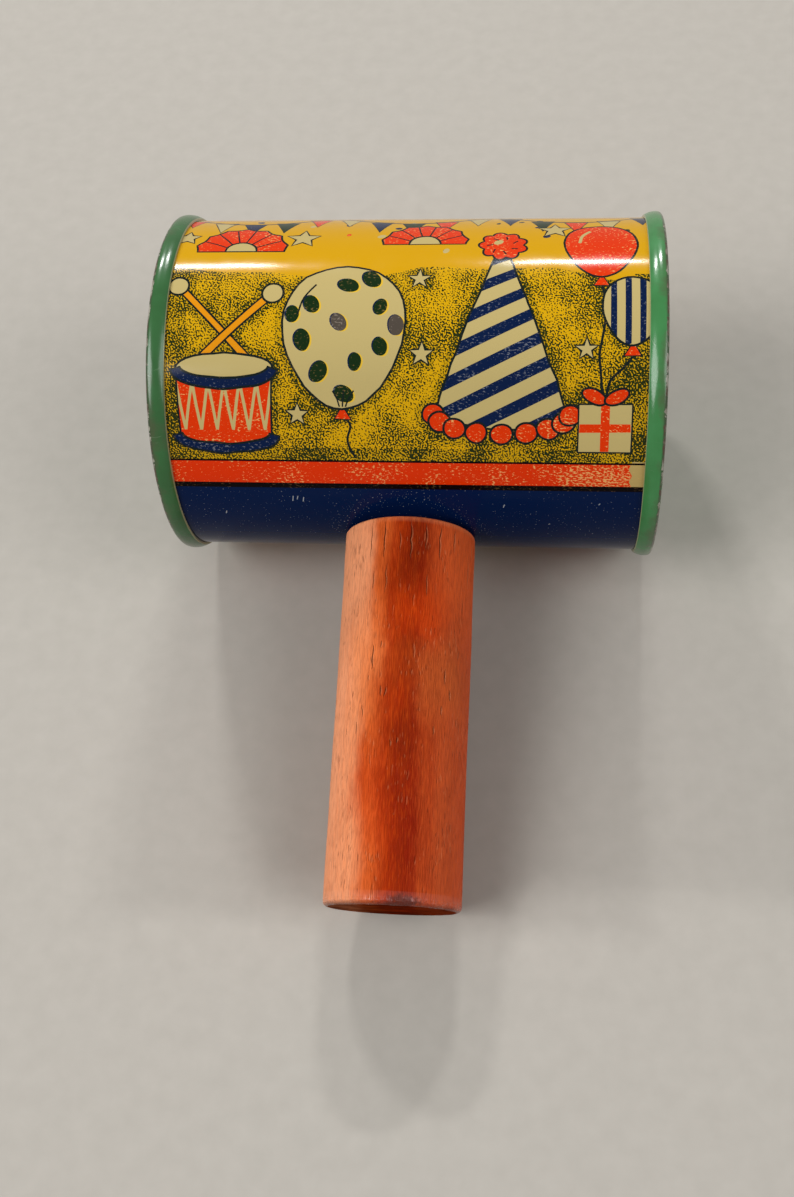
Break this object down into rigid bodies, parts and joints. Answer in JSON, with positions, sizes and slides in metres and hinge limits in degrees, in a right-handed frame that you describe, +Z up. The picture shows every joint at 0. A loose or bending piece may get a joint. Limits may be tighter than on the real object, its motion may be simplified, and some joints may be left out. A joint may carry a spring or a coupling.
{
  "type": "gragger noisemaker",
  "caption": "Tin drum that spins on a wooden handle, with spring reeds inside that snap over a ratchet wheel fixed to the axle and make a loud rattle.",
  "frame": {"origin": "on the surface that the toy lies on, under the middle of its outer box", "axes": "+Z up; X along the drum; the handle points towards -Y and slopes down to the surface"},
  "size_m": [0.095, 0.1406, 0.068],
  "materials": {
    "handle_wood": "stained, worn",
    "drum_print": "lithographed, gloss varnish",
    "cap_enamel": "green enamel, worn edges",
    "steel": "plain steel",
    "tinplate": "bright tinned steel",
    "spring_steel": "blued spring steel",
    "eyelet_brass": "plain brass",
    "wheel_wood": "bare turned beech"
  },
  "bodies": {
    "handle": {"handle": "handle_wood", "axle": "steel", "thrust_washer": "steel", "top_washer": "steel", "ratchet_wheel": "wheel_wood", "wheel_pin": "steel"},
    "drum": {"drum_shell": "drum_print", "left_end_cap": "cap_enamel", "right_end_cap": "cap_enamel", "lower_eyelet": "eyelet_brass", "upper_eyelet": "eyelet_brass", "left_reed_bracket": "tinplate", "left_clamp_plate": "tinplate", "left_bracket_rivets": "steel", "left_clamp_rivets": "steel", "right_reed_bracket": "tinplate", "right_clamp_plate": "tinplate", "right_bracket_rivets": "steel", "right_clamp_rivets": "steel"},
    "left_reed": {"left_reed": "spring_steel"},
    "right_reed": {"right_reed": "spring_steel"}
  },
  "joints": [
    {"name": "drum_spin", "type": "hinge", "parent": "handle", "child": "drum", "pos_m": [0, 0.03513, 0.034], "axis": [0, -0.9784, -0.2067], "continuous": true},
    {"name": "left_reed_flex", "type": "hinge", "parent": "drum", "child": "left_reed", "pos_m": [-0.0363, 0.03762, 0.02221], "axis": [0, 0.9784, 0.2067], "range_deg": [0, 4.5], "stiffness_Nm_per_rad": 0.05, "springref_deg": -2.86},
    {"name": "right_reed_flex", "type": "hinge", "parent": "drum", "child": "right_reed", "pos_m": [0.0363, 0.03264, 0.04579], "axis": [0, 0.9784, 0.2067], "range_deg": [0, 4.5], "stiffness_Nm_per_rad": 0.05, "springref_deg": -2.86}
  ]
}
